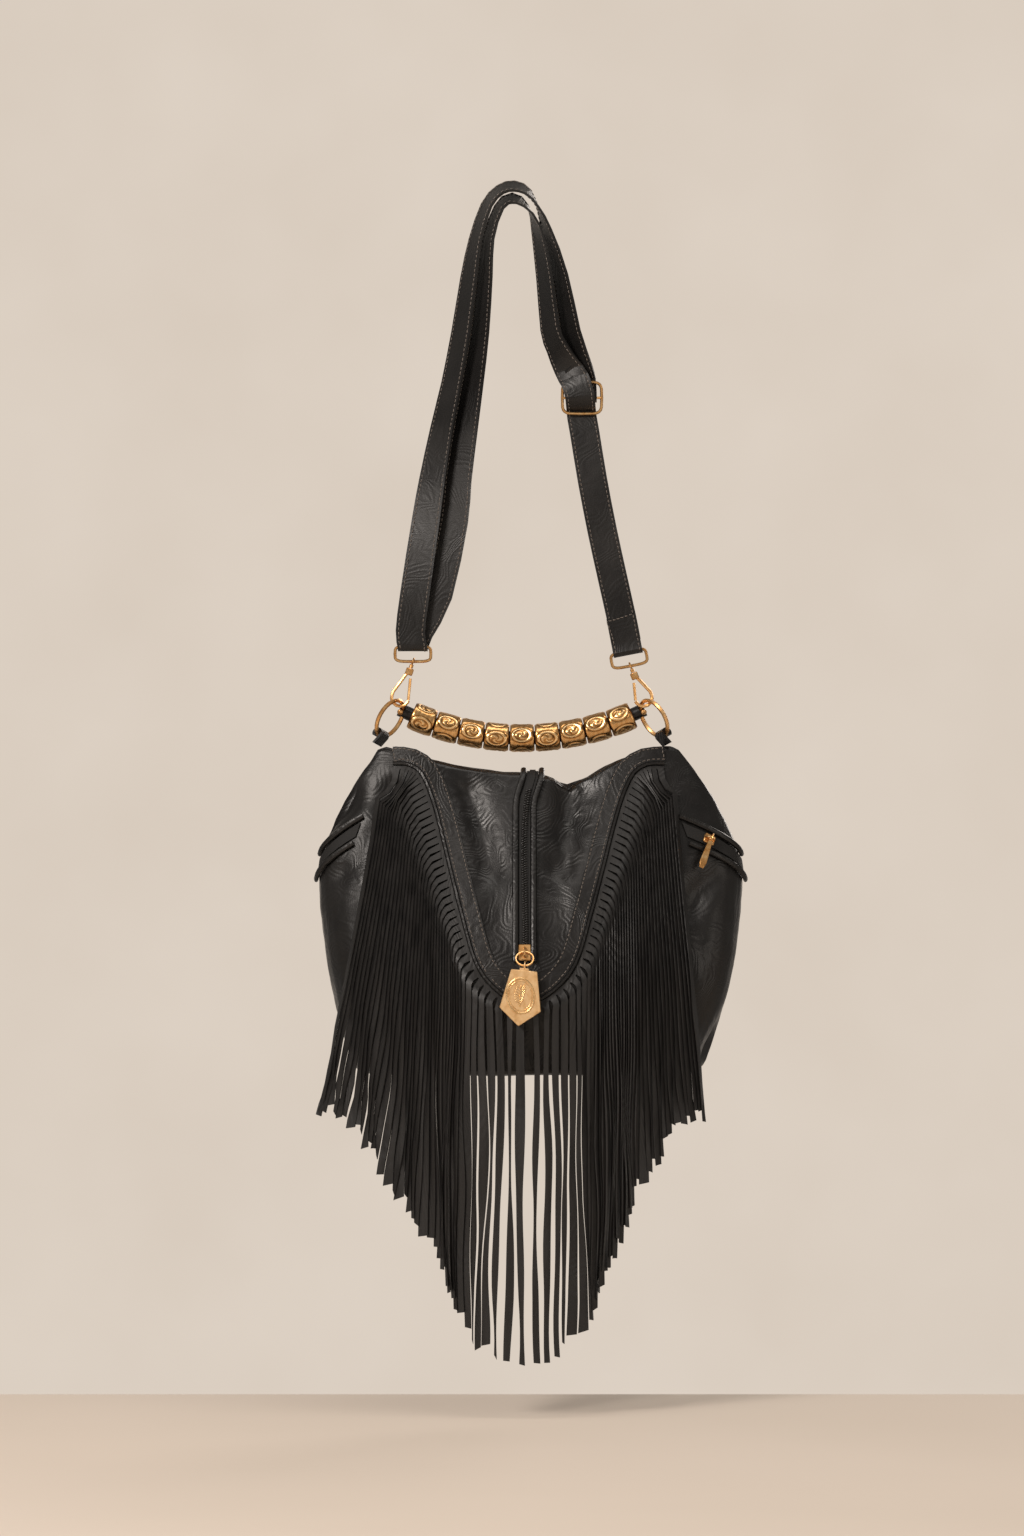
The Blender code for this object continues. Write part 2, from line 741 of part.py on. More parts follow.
def front_slider():
    z = ZIP_END_Z + SLIDER_L / 2
    point = front_point(zip_x(z), z)
    normal = front_normal(point.x, z)
    along = Vector((0, normal.z, -normal.y)).normalized()
    place = point + normal * (SKIN_LIFT + ZIP_T + TEETH_T + GAP)
    slider_with_bridge("main_slider", place, normal, along, SLIDER_W, SLIDER_L, gold())
    hole = place + normal * (SLIDER_T + BRIDGE_H * 0.42)
    radius = (PULL_RING_D - PULL_WIRE_D) / 2
    down = Vector((0, -math.sin(PULL_RING_LEAN), -math.cos(PULL_RING_LEAN)))
    middle = hole + down * radius
    right = Vector((1, 0, 0))
    closed_ring("pull_ring", middle, right, down, (2 * radius, 2 * radius), PULL_WIRE_D, gold(), hole, 20)
    pull_pendant(hole + down * 2 * radius)


# The five-sided plate, with a loop that rides on the pull ring's low point.
def pull_pendant(hang):
    right = Vector((math.cos(PENDANT_TURN), 0, math.sin(PENDANT_TURN)))
    up = Vector((-right.z, 0, right.x))
    loop_r = 2.6 * MM
    top = hang + Vector((0, -1.4 * MM, 0)) - up * (loop_r + 1.2 * MM)
    wide = PENDANT_W / 2
    narrow = PENDANT_TOP_W / 2
    low = PENDANT_H - PENDANT_POINT_H
    outline = ((-narrow, 0), (narrow, 0), (wide, -low), (0, -PENDANT_H), (-wide, -low))
    plate = flat_plate("pull_pendant", outline, top, right, up, PENDANT_T, pale_gold(), hang, 0.5 * MM)
    forward = Vector((0, -1, 0))
    shape = bmesh.new()
    loop = oval_points(hang, forward, up, 2 * loop_r, 2.6 * loop_r, 12)
    wire(shape, loop, 1.5 * MM, right, closed=True, sides=6)
    stem = block("pendant_stem", top + up * 0.4 * MM, right, up, (8 * MM, 3 * MM, 2 * MM), pale_gold(), hang)
    fuse(plate, stem, node("pendant_loop", shape, pale_gold(), hang))


# A place on the body by level and by angle round it, 0 at the side and front positive.
def side_point(level, angle, side, lift=0.0):
    squareness = 2 / between(2.05, 2.9, ease((RIDGE_Z - level) / (RIDGE_Z - BASE_Z)))
    x = BAG_X + side * body_half(level) * BAG_SIDE[side] * abs(math.cos(angle)) ** squareness
    face = -1 if angle >= 0 else 1
    y = face * body_depth(level) * abs(math.sin(angle)) ** squareness
    point = Vector((x, y, level + ridge_lift(x, level)))
    if lift:
        step = math.radians(1.5)
        round_way = side_point(level, angle + step, side) - side_point(level, angle - step, side)
        up_way = side_point(level + MM, angle, side) - side_point(level - MM, angle, side)
        point += round_way.cross(up_way).normalized() * lift * -side
    return point


def pocket_run(side, rise, lift, steps=16):
    points = []
    for i in range(steps + 1):
        share = 1 - 2 * i / steps
        angle = POCKET_REACH[side] * abs(share) ** 1.25 * (1 if share >= 0 else -1)
        level = between(POCKET_MID_LEVEL, POCKET_END_LEVEL, abs(share) ** 1.4) + rise
        points.append(side_point(level, angle, side, lift))
    return points


def side_pocket(side, label):
    offset = POCKET_TAPE_W / 2 + GAP + POCKET_LIP_D / 2
    upright = Vector((0, 0, 1))
    for name, rise in (("upper", offset + 1.5 * MM), ("lower", -offset - 1.5 * MM)):
        shape = bmesh.new()
        points = pocket_run(side, rise, 1.6 * GAP + POCKET_LIP_D * 0.4)
        sections = []
        for point, along in zip(points, directions(points)):
            out = along.cross(upright).normalized()
            up = out.cross(along).normalized()
            sections.append(round_section(point, out, up, POCKET_LIP_D * 0.4, POCKET_LIP_D / 2, 8))
        loft(shape, sections)
        node(f"{label}_pocket_{name}_lip", shape, leather())
    shape = bmesh.new()
    low = pocket_run(side, -POCKET_TAPE_W / 2, SKIN_LIFT)
    high = pocket_run(side, POCKET_TAPE_W / 2, SKIN_LIFT)
    low_out = pocket_run(side, -POCKET_TAPE_W / 2, SKIN_LIFT + ZIP_T)
    high_out = pocket_run(side, POCKET_TAPE_W / 2, SKIN_LIFT + ZIP_T)
    loft(shape, [list(ring) for ring in zip(low, high, high_out, low_out)])
    node(f"{label}_pocket_zip", shape, zip_cloth())


# Directions of a big ring: towards its top, and across it, turned away from the front.
def ring_axes(side):
    top = Vector((-side * math.sin(RING_LEAN), 0, math.cos(RING_LEAN)))
    inward = Vector((-side * math.cos(RING_LEAN), 0, -math.sin(RING_LEAN)))
    across = inward * math.cos(RING_TURN) + Vector((0, math.sin(RING_TURN), 0))
    return top, across


def ring_centre(side):
    return Vector((HANDLE_X + side * RING_X, 0, RING_Z))


def big_ring(side, label):
    top, across = ring_axes(side)
    closed_ring(f"{label}_big_ring", ring_centre(side), across, top, (RING_D, RING_D), RING_WIRE_D,
                gold(), clasp_foot(side), 28)


# A short strip of leather folded round the low side of a big ring.
def ring_tab(side, label):
    top, across = ring_axes(side)
    low = ring_centre(side) - top * RING_D / 2
    forward = Vector((-side * top.z * math.sin(RING_TURN), -math.cos(RING_TURN),
                      -abs(top.x) * math.sin(RING_TURN)))
    radius = RING_WIRE_D / 2 + 2 * GAP + TAB_T / 2
    shape = bmesh.new()
    sections = []
    for angle in range(225, -50, -25):
        turn = math.radians(angle)
        out = forward * math.cos(turn) + top * math.sin(turn)
        middle = low + top * 1.2 * MM + out * radius
        sections.append(flat_section(middle, across, out, TAB_W, TAB_T))
    tail = low - top * (radius + 4.2 * MM) + forward * TAB_T * 0.6
    sections.append(flat_section(tail, across, forward, TAB_W, TAB_T))
    loft(shape, sections)
    node(f"{label}_ring_tab", shape, leather(), clasp_foot(side))


# Place and direction on the handle's sagging arc, by length from its middle.
def handle_arc(distance):
    radius = (HANDLE_HALF ** 2 + HANDLE_SAG ** 2) / (2 * HANDLE_SAG)
    angle = distance / radius
    high = HANDLE_END_Z - HANDLE_SAG + radius
    place = Vector((HANDLE_X + radius * math.sin(angle), HANDLE_Y, high - radius * math.cos(angle)))
    return place, Vector((math.cos(angle), 0, math.sin(angle)))


def handle_half_length():
    radius = (HANDLE_HALF ** 2 + HANDLE_SAG ** 2) / (2 * HANDLE_SAG)
    return radius * math.asin(HANDLE_HALF / radius)


def handle():
    half = handle_half_length()
    reach = half + CORE_OUT
    shape = bmesh.new()
    points = [handle_arc(between(-reach, reach, i / 16))[0] for i in range(17)]
    wire(shape, points, CORE_D, Vector((0, 1, 0)), sides=10)
    origin = handle_pivot()
    core = node("handle_core", shape, leather(), origin)
    for side in (-1, 1):
        top, across = ring_axes(side)
        size = (RING_D, RING_D)
        tunnel = closed_ring("tunnel", ring_centre(side), across, top, size,
                             RING_WIRE_D + 2 * CORE_EYE_GAP, gold(), (0, 0, 0), 28)
        cut(core, tunnel)
    pitch = 2 * half / BEAD_COUNT
    for number in range(BEAD_COUNT):
        start = -half + pitch * number + BEAD_GAP / 2
        handle_bead(number + 1, start, start + pitch - BEAD_GAP, origin)


def handle_pivot():
    return Vector((HANDLE_X, HANDLE_Y, HANDLE_END_Z))


def handle_bead(number, start, end, origin):
    inner = CORE_D / 2 + BEAD_CLEAR
    outer = HANDLE_D / 2
    profile = ((start, inner), (start, outer - BEAD_EDGE), (start + BEAD_EDGE, outer),
               (end - BEAD_EDGE, outer), (end, outer - BEAD_EDGE), (end, inner))
    forward = Vector((0, -1, 0))
    steps = 14
    sections = []
    for i in range(steps):
        turn = 2 * math.pi * i / steps
        section = []
        for distance, radius in profile:
            place, along = handle_arc(distance)
            up = forward.cross(along)
            section.append(place + (forward * math.cos(turn) + up * math.sin(turn)) * radius)
        sections.append(section)
    shape = bmesh.new()
    loft(shape, sections, closed=True)
    node(f"handle_bead_{number}", shape, gold(), origin, 35)


# Where a clasp's low wire hangs through the top of its big ring.
def clasp_foot(side):
    top, _ = ring_axes(side)
    drop = RING_WIRE_D / 2 + CLASP_WIRE_D / 2 + CLASP_HANG_GAP
    return ring_centre(side) + top * (RING_D / 2 - drop)


def clasp_head(side):
    _, up = oval_axes(side)
    return Vector((OVAL_X[side], 0, OVAL_Z[side])) - up * OVAL_H / 2


# Directions of an oval ring: the right one is square to the leg of strap that it ends.
def oval_axes(side):
    up = Vector((0, 0, 1))
    if side > 0:
        up = (Vector(STRAP_INNER[1][:3]) - Vector(STRAP_INNER[0][:3])).normalized()
    return Vector((up.z, 0, -up.x)), up


# Directions of a clasp: up its own axis, and outwards, away from the bag's middle.
def clasp_axes(side):
    up = (clasp_head(side) - clasp_foot(side)).normalized()
    return up, Vector((side * up.z, 0, -side * up.x))


def clasp(side, label):
    up, outward = clasp_axes(side)
    foot = clasp_foot(side)
    height = (clasp_head(side) - foot).length
    eye_radius = OVAL_WIRE_D / 2 + 2 * GAP + EYE_WIRE_D / 2
    post_low = height - eye_radius - EYE_WIRE_D / 2 - 2.2 * MM
    neck_top = post_low - GAP
    neck_low = neck_top - NECK_H
    half = CLASP_W / 2 - CLASP_WIRE_D / 2
    bend = half * 0.96
    route = [(NECK_W * 0.1, neck_low + NECK_H * 0.4), (NECK_W * 0.33, neck_low - 1 * MM)]
    route += [(half, bend * 1.45), (half, bend)]
    for angle in range(-25, -171, -29):
        turn = math.radians(angle)
        route.append((half * math.cos(turn), bend + bend * math.sin(turn)))
    route.append((-half * 0.995, bend * 1.02))
    shape = bmesh.new()
    points = [foot + outward * x + up * y for x, y in route]
    wire(shape, points, CLASP_WIRE_D, Vector((0, 1, 0)), sides=8)
    hook = node(f"{label}_clasp_hook", shape, gold(), foot)
    middle = foot + up * (neck_low + NECK_H / 2)
    fuse(hook, block("neck", middle, outward, up, (NECK_W, NECK_H, NECK_T), gold(), foot, 0.7 * MM))
    low = foot - outward * half * 0.98 + up * (bend * 1.02 + GAP * 1.6)
    pivot = foot - outward * NECK_W * 0.42 + up * (neck_low - 3 * GAP - CLASP_WIRE_D * 0.45)
    shape = bmesh.new()
    wire(shape, [low, pivot], CLASP_WIRE_D * 0.82, Vector((0, 1, 0)), sides=8)
    node(f"{label}_clasp_gate", shape, gold(), pivot)
    eye = clasp_head(side)
    shape = bmesh.new()
    loop = oval_points(eye, Vector((0, -1, 0)), up, 2 * eye_radius, 2 * eye_radius, 14)
    wire(shape, loop, EYE_WIRE_D, outward, closed=True, sides=6)
    ring = node(f"{label}_swivel_eye", shape, gold(), eye)
    shape = bmesh.new()
    post = [foot + up * post_low, foot + up * (height - eye_radius)]
    wire(shape, post, POST_D, Vector((0, 1, 0)), sides=10)
    fuse(ring, node("post", shape, gold(), eye))


def oval_ring(side, label):
    centre = Vector((OVAL_X[side], 0, OVAL_Z[side]))
    right, up = oval_axes(side)
    closed_ring(f"{label}_oval_ring", centre, right, up, (OVAL_W, OVAL_H), OVAL_WIRE_D, gold(),
                centre, 24, OVAL_SQUARE)


def strap_across(turn, z):
    tilt = STRAP_TOP_TILT * ease((z + 40 * MM) / (40 * MM))
    level = Vector((math.cos(turn), -math.sin(turn), 0))
    return level * math.cos(tilt) - Vector((0, 0, math.sin(tilt)))


# Round a wire that runs along X, from behind it to before it, hanging under it.
def strap_fold(wire_at, wire_d, start_x, end_x):
    radius = wire_d / 2 + FOLD_GAP + STRAP_T / 2
    points = []
    for angle in (0, 45, 90, 135, 180):
        turn = math.radians(angle)
        x = between(start_x, end_x, angle / 180)
        points.append(((x, radius * math.cos(turn), wire_at.z - radius * math.sin(turn)), 0.0))
    return points


def shoulder_strap():
    inner = [((x * MM, y * MM, z * MM), math.radians(a)) for x, y, z, a in STRAP_INNER]
    outer = [((x * MM, y * MM, z * MM), math.radians(a)) for x, y, z, a in STRAP_OUTER]
    top_wire = Vector((OVAL_X[-1], 0, OVAL_Z[-1] + OVAL_H / 2))
    fold = strap_fold(top_wire, OVAL_WIRE_D, OVAL_X[-1] + 0.5 * MM, OVAL_X[-1] - 0.5 * MM)
    end = strap_fold(BUCKLE, BUCKLE_BAR_D, BUCKLE.x, BUCKLE.x)
    end.append(((BUCKLE.x, end[-1][0][1], BUCKLE.z + 5 * MM), 0.0))
    route = inner + fold + outer + end
    places = smooth_points([place for place, _ in route], 2)
    turns = []
    for (_, a), (_, b) in zip(route, route[1:]):
        turns += [a, (a + b) / 2]
    turns.append(route[-1][1])
    shape = bmesh.new()
    sections = []
    for place, along, turn in zip(places, directions(places), turns):
        across = strap_across(turn, place.z)
        across = (across - along * across.dot(along)).normalized()
        sections.append(flat_section(place, across, across.cross(along), STRAP_W, STRAP_T))
    loft(shape, sections)
    node("shoulder_strap", shape, leather())


# A strip sewn over the strap's end and folded round the right oval ring.
def strap_end_tab():
    across, up = oval_axes(1)
    ring = Vector((OVAL_X[1], 0, OVAL_Z[1])) + up * OVAL_H / 2
    radius = OVAL_WIRE_D / 2 + FOLD_GAP + END_TAB_T / 2
    flat = STRAP_T / 2 + GAP + END_TAB_T / 2
    points = [(flat, END_TAB_L), (flat, 9 * MM), (flat, 3 * MM)]
    for angle in (0, 45, 90, 135, 180):
        turn = math.radians(angle)
        points.append((radius * math.cos(turn), -radius * math.sin(turn)))
    points += [(-flat, 3 * MM), (-flat, 9 * MM), (-flat, END_TAB_L)]
    places = [ring + up * j + Vector((0, i, 0)) for i, j in points]
    shape = bmesh.new()
    sections = []
    for place, along in zip(places, directions(places)):
        sections.append(flat_section(place, across, across.cross(along), STRAP_W, END_TAB_T))
    loft(shape, sections)
    node("strap_end_tab", shape, leather())


# An oval frame with a middle bar that the strap's end is sewn round.
def strap_buckle():
    right = Vector((1, 0, 0))
    up = Vector((0, 0, 1))
    frame = closed_ring("strap_buckle", BUCKLE, right, up, (BUCKLE_W, BUCKLE_H), BUCKLE_WIRE_D,
                        gold(), BUCKLE, 24, BUCKLE_SQUARE)
    shape = bmesh.new()
    reach = right * BUCKLE_W / 2
    wire(shape, [BUCKLE - reach, BUCKLE + reach], BUCKLE_BAR_D, Vector((0, 1, 0)), sides=8)
    fuse(frame, node("bar", shape, gold(), BUCKLE))


# Slider and hanging pull of a side pocket.
def side_slider(side, label):
    line = pocket_run(side, 0, SKIN_LIFT + ZIP_T + GAP, 40)
    number = 4 if side > 0 else 37
    place = line[number]
    along = (line[number - 1] - line[number + 1]).normalized()
    below = pocket_run(side, -2 * MM, SKIN_LIFT + ZIP_T + GAP, 40)[number]
    down = (below - place) - along * along.dot(below - place)
    down.normalize()
    normal = along.cross(down)
    if normal.x * side < 0:
        normal.negate()
    slider_with_bridge(f"{label}_side_slider", place, normal, along, SIDE_SLIDER_W, SIDE_SLIDER_L, gold())
    loop_r = 3.0 * MM
    wire_d = 1.5 * MM
    middle = place + normal * (SLIDER_T + GAP + wire_d / 2 + loop_r)
    shape = bmesh.new()
    loop = oval_points(middle, down, normal, 2 * loop_r, 2 * loop_r, 12)
    wire(shape, loop, wire_d, along, closed=True, sides=6)
    half = PULL_TAB_W / 2
    outline = [(-half * 0.6, 0), (half * 0.6, 0), (half, -PULL_TAB_L * 0.8)]
    outline += [(half * 0.6, -PULL_TAB_L), (-half * 0.6, -PULL_TAB_L), (-half, -PULL_TAB_L * 0.8)]
    start = middle + down * (loop_r - 0.2 * MM)
    tab = flat_plate(f"{label}_side_pull", outline, start, along, -down, PULL_TAB_T, gold(), middle)
    fuse(tab, node("loop", shape, gold(), middle))


def main():
    clear_scene()
    body()
    line = band_line()
    trim_band(line)
    fringe_piping(line)
    front_fringe(line)
    main_zip()
    front_slider()
    for side, label in ((1, "right"), (-1, "left")):
        side_pocket(side, label)
        side_slider(side, label)
        big_ring(side, label)
        ring_tab(side, label)
        clasp(side, label)
        oval_ring(side, label)
    handle()
    shoulder_strap()
    strap_end_tab()
    strap_buckle()


main()
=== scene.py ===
# %% [markdown]
# Fringed leather shoulder bag: the looks.
# The CAD model is the frame. Every piece here is made from a CAD node or set against one.

# %% Load the frame
import json
import math

import bmesh
import bpy
import numpy as np
from mathutils import Matrix, Vector, noise
from mathutils.bvhtree import BVHTree
from mathutils.kdtree import KDTree


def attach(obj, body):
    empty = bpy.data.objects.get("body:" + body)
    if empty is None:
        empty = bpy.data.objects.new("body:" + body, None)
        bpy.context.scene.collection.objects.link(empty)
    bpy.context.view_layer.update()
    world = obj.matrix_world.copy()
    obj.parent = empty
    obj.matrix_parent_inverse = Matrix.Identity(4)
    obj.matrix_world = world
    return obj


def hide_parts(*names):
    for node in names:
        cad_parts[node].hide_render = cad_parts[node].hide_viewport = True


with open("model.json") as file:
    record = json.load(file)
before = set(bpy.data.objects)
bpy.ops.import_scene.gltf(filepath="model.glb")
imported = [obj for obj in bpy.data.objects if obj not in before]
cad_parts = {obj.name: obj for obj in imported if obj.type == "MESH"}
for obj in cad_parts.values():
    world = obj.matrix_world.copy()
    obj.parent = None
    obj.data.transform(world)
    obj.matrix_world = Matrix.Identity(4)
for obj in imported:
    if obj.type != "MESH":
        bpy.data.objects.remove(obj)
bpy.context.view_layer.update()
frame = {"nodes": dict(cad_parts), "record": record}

MM = 0.001
NODES = frame["nodes"]
BODY_OF = {}
for body, names in frame["record"]["behaviour"]["bodies"].items():
    BODY_OF.update({name: body for name in names})
SLOT_OF = {part["node"]: part["material_slot"] for part in frame["record"]["subparts"]}
SCENE = bpy.context.scene

# %% [markdown]
# The camera stands 5 m in front, level with the middle of the picture, with a long lens,
# so that the bag looks as flat as it does in the photo.

# %% Camera
PICTURE_HALF = 652.8 * MM
CAMERA_BACK = 5.0
CAMERA_Z = -478.6 * MM
SENSOR_WIDTH = 36
camera_data = bpy.data.cameras.new("camera")
camera = bpy.data.objects.new("camera", camera_data)
SCENE.collection.objects.link(camera)
camera.location = (0, -CAMERA_BACK, CAMERA_Z)
camera.rotation_euler = (math.radians(90), 0, 0)
camera_data.sensor_width = SENSOR_WIDTH
camera_data.lens = SENSOR_WIDTH / 2 * CAMERA_BACK / PICTURE_HALF
SCENE.camera = camera
SCENE.view_settings.view_transform = "Standard"


# %% [markdown]
# Colours are written as sRGB hex and turned linear here. The other helpers add shader nodes:
# an input is named by its label, or by i and its number where labels repeat.

# %% Colour and node helpers
def linear(code):
    values = [int(code[i:i + 2], 16) / 255 for i in (1, 3, 5)]
    return tuple(v / 12.92 if v <= 0.04045 else ((v + 0.055) / 1.055) ** 2.4 for v in values) + (1.0,)


def socket_of(made, key):
    if key[0] == "i" and key[1:].isdigit():
        return made.inputs[int(key[1:])]
    return made.inputs[key.replace("_", " ")]


# Adds one shader node, sets its properties and constants, and links its named inputs.
def add(tree, kind, settings=None, **inputs):
    made = tree.nodes.new("ShaderNode" + kind)
    for key, value in (settings or {}).items():
        setattr(made, key, value)
    for key, value in inputs.items():
        socket = socket_of(made, key)
        if isinstance(value, bpy.types.NodeSocket):
            tree.links.new(value, socket)
        else:
            socket.default_value = value
    return made


# A new material, its node tree, its shader and the place on the object to draw from.
def new_material(name):
    made = bpy.data.materials.new(name)
    made.use_nodes = True
    tree = made.node_tree
    place = tree.nodes.new("ShaderNodeTexCoord").outputs["Object"]
    return made, tree, tree.nodes["Principled BSDF"], place


# Colours along a ramp, each stop a share and a hex code.
def ramp(tree, factor, stops):
    made = add(tree, "ValToRGB", Fac=factor)
    marks = made.color_ramp.elements
    while len(marks) < len(stops):
        marks.new(0.5)
    for mark, (place, colour) in zip(marks, stops):
        mark.position = place
        mark.color = linear(colour)
    return made.outputs["Color"]


def remap(tree, value, low, high, out_low, out_high):
    made = add(tree, "MapRange", Value=value, i1=low, i2=high, i3=out_low, i4=out_high)
    return made.outputs["Result"]


def stretched(tree, place, scale):
    return add(tree, "Mapping", Vector=place, Scale=scale).outputs["Vector"]


# Presses a height into the surface, on top of an earlier one if given.
def press(tree, height, strength, depth, under=None):
    more = {"Normal": under} if under else {}
    made = add(tree, "Bump", Height=height, Strength=strength, Distance=depth, **more)
    return made.outputs["Normal"]


# %% [markdown]
# Leather: a fine pebble grain about 1 mm across, swirls of fine creases about 2 mm apart,
# slow patches in the gloss, and a colour that lightens where the skin is rubbed.

# %% Leather
PEBBLES_PER_M, PORES_PER_M, SWIRLS_PER_M, PATCHES_PER_M = 850.0, 1700.0, 24.0, 26.0
CREASES_PER_SWIRL = 130.0
CREASE_DEPTH, PEBBLE_DEPTH, PORE_DEPTH = 0.22 * MM, 0.25 * MM, 0.1 * MM


def leather(name, dark, light, gloss, grain, crease, stretch=(1, 1, 1), patch=(1, 1, 1)):
    made, tree, shader, place = new_material(name)
    drawn = stretched(tree, place, stretch)
    pebbles = add(tree, "TexVoronoi", {"feature": "SMOOTH_F1"}, Vector=drawn, Scale=PEBBLES_PER_M)
    pores = add(tree, "TexNoise", Vector=drawn, Scale=PORES_PER_M, Detail=2.0)
    swirl = add(tree, "TexNoise", Vector=drawn, Scale=SWIRLS_PER_M, Detail=1.5, Distortion=0.5)
    turns = add(tree, "Math", {"operation": "MULTIPLY"}, i0=swirl.outputs["Fac"], i1=CREASES_PER_SWIRL)
    creases = add(tree, "Math", {"operation": "SINE"}, i0=turns.outputs["Value"])
    patches = add(tree, "TexNoise", Vector=stretched(tree, place, patch), Scale=PATCHES_PER_M, Detail=4.0)
    tone = patches.outputs["Fac"]
    tree.links.new(ramp(tree, tone, ((0.3, dark), (0.72, light))), shader.inputs["Base Color"])
    tree.links.new(remap(tree, tone, 0.3, 0.7, gloss - 0.06, gloss + 0.1), shader.inputs["Roughness"])
    relief = press(tree, creases.outputs["Value"], crease, CREASE_DEPTH)
    relief = press(tree, pebbles.outputs["Distance"], grain, PEBBLE_DEPTH, relief)
    relief = press(tree, pores.outputs["Fac"], grain * 0.5, PORE_DEPTH, relief)
    tree.links.new(relief, shader.inputs["Normal"])
    shader.inputs["Sheen Weight"].default_value = 0.02
    shader.inputs["Sheen Roughness"].default_value = 0.45
    shader.inputs["Specular IOR Level"].default_value = 0.4
    return made


# %% [markdown]
# Gold: warm plated metal, with faint scratches and slow tarnish. On a relief (the "worn" attribute
# carries the height) painted shade darkens the hollows and a painted highlight lightens the tops.

# %% Metal
TARNISH_PER_M, SCRATCHES_PER_M, SCRATCH_DEPTH = 160.0, 900.0, 0.05 * MM


def gold(name, dark, mid, light, gloss, relief=False):
    made, tree, shader, place = new_material(name)
    tarnish = add(tree, "TexNoise", Vector=place, Scale=TARNISH_PER_M, Detail=5.0, Roughness=0.6)
    brushed = stretched(tree, place, (1, 1, 9))
    scratches = add(tree, "TexNoise", Vector=brushed, Scale=SCRATCHES_PER_M, Detail=3.0)
    tone = tarnish.outputs["Fac"]
    stops = ((0.28, dark), (0.45, mid), (0.75, light))
    if relief:
        # The relief height paints shade into the hollows and a highlight onto the raised tops.
        painted_relief_shading = add(tree, "Attribute", {"attribute_name": "painted_relief_shading"}).outputs["Fac"]
        speckle = remap(tree, tone, 0.2, 0.8, -0.12, 0.12)
        tone = add(tree, "Math", {"operation": "ADD"}, i0=painted_relief_shading, i1=speckle).outputs["Value"]
        stops = ((0.06, dark), (0.38, mid), (0.95, light))
    tree.links.new(ramp(tree, tone, stops), shader.inputs["Base Color"])
    scratched = scratches.outputs["Fac"]
    tree.links.new(remap(tree, scratched, 0.3, 0.7, gloss - 0.05, gloss + 0.12), shader.inputs["Roughness"])
    tree.links.new(press(tree, scratched, 0.12, SCRATCH_DEPTH), shader.inputs["Normal"])
    shader.inputs["Metallic"].default_value = 1.0
    return made


# %% [markdown]
# Zip tape is a tight weave about 0.6 mm across; thread is a waxed cord with a twist.

# %% Cloth and thread
WEAVE_DEPTH = 0.2 * MM
WAVE_TURN = 6.28


def woven(name, dark, light, pitch, gloss):
    made, tree, shader, place = new_material(name)
    scale = 1 / (pitch * MM) / WAVE_TURN
    across = add(tree, "TexWave", {"bands_direction": "X"}, Vector=place, Scale=scale)
    up = add(tree, "TexWave", {"bands_direction": "Z"}, Vector=place, Scale=scale)
    both = add(tree, "Math", {"operation": "MULTIPLY"}, i0=across.outputs["Fac"], i1=up.outputs["Fac"])
    weave = both.outputs["Value"]
    tree.links.new(ramp(tree, weave, ((0.1, dark), (0.8, light))), shader.inputs["Base Color"])
    tree.links.new(press(tree, weave, 0.5, WEAVE_DEPTH), shader.inputs["Normal"])
    shader.inputs["Roughness"].default_value = gloss
    return made


# Leather takes dark, light, gloss, grain, crease; metal takes dark, mid, light, gloss;
# a weave takes dark, light, pitch in mm, gloss.
BLACK = leather("black_leather", "#090808", "#141211", 0.36, 0.35, 0.27)
STRAP_SKIN = leather("strap_leather", "#0a0909", "#141211", 0.42, 0.3, 0.16)
STRIPS = leather("strip_leather", "#100f0f", "#1e1c1b", 0.44, 0.22, 0.18, (1, 1, 0.35), (7, 7, 0.3))
GOLD = gold("antique_gold", "#c28c52", "#dda96c", "#f5d29c", 0.31)
RELIEF = gold("relief_gold", "#5a3516", "#c8955a", "#f3d3a0", 0.25, True)
PALE = gold("pale_gold", "#dcb07a", "#eec692", "#fbdcae", 0.44)
# The pendant's raised lines are a shade darker than its plate: painted shade standing in for their shadows.
PALE_LINE = gold("pale_line", "#d9ab70", "#ecc68e", "#f6dcae", 0.26)
TAPE = woven("zip_tape", "#070606", "#141211", 0.6, 0.75)
THREAD = woven("thread", "#3f3935", "#8f847a", 0.5, 0.4)
TEETH = leather("zip_teeth", "#0a0909", "#161413", 0.25, 0.05, 0.0)


# %% [markdown]
# The stage: a pale floor that ends just behind the bag, a plain glowing backdrop far behind
# it, out of the way of a camera that goes round, and soft light from the upper left front.

# %% Stage and light
FLOOR_BACK = 118 * MM
FLOOR_Z = -1023.5 * MM
FLOOR_FRONT, FLOOR_HALF = -6.0, 4.0
BACKDROP_Y, BACKDROP_HALF, BACKDROP_LOW, BACKDROP_TOP = 9.0, 6.0, -5.0, 6.0


# A flat sheet of the stage, lit by the lamps, or glowing by itself.
def plane(name, corners, dark, light, glow):
    mesh = bpy.data.meshes.new(name)
    mesh.from_pydata(corners, [], [tuple(range(len(corners)))])
    made = bpy.data.objects.new(name, mesh)
    SCENE.collection.objects.link(made)
    material, tree, shader, place = new_material(name)
    mottle = add(tree, "TexNoise", Vector=place, Scale=2.0, Detail=3.0)
    colour = ramp(tree, mottle.outputs["Fac"], ((0.2, dark), (0.8, light)))
    tree.links.new(colour, shader.inputs["Emission Color" if glow else "Base Color"])
    shader.inputs["Emission Strength"].default_value = glow
    shader.inputs["Roughness"].default_value = 0.85
    mesh.materials.append(material)
    return made


